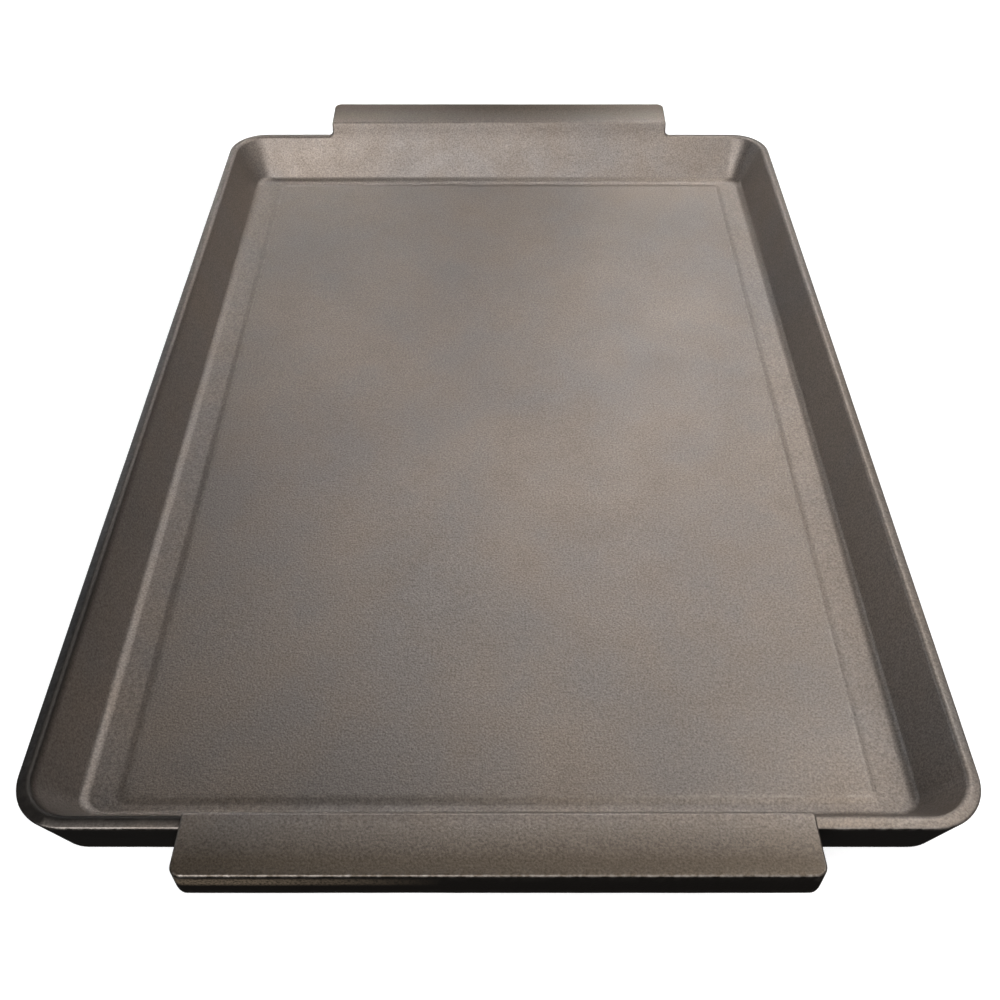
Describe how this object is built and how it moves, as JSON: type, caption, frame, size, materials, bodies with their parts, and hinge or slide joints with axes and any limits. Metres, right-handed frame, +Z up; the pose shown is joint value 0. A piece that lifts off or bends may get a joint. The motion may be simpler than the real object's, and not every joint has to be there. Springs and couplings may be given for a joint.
{
  "type": "flat top griddle plate",
  "caption": "Cast rectangular flat top griddle plate: shallow tray with leaning walls, a flat cooking panel set off by a shallow channel, and a wide turned-over handle at each end.",
  "frame": {"origin": "centre of the footprint, on the surface that the griddle stands on", "axes": "+Z up, +Y along the length from one handle to the other, +X across the width"},
  "size_m": [0.371, 0.5686, 0.0406],
  "materials": {
    "seasoned_iron": "dark seasoned cast iron with a fine sandy casting grain, satin sheen, edges rubbed brighter"
  },
  "bodies": {
    "root": {"griddle_plate": "seasoned_iron"}
  },
  "joints": []
}
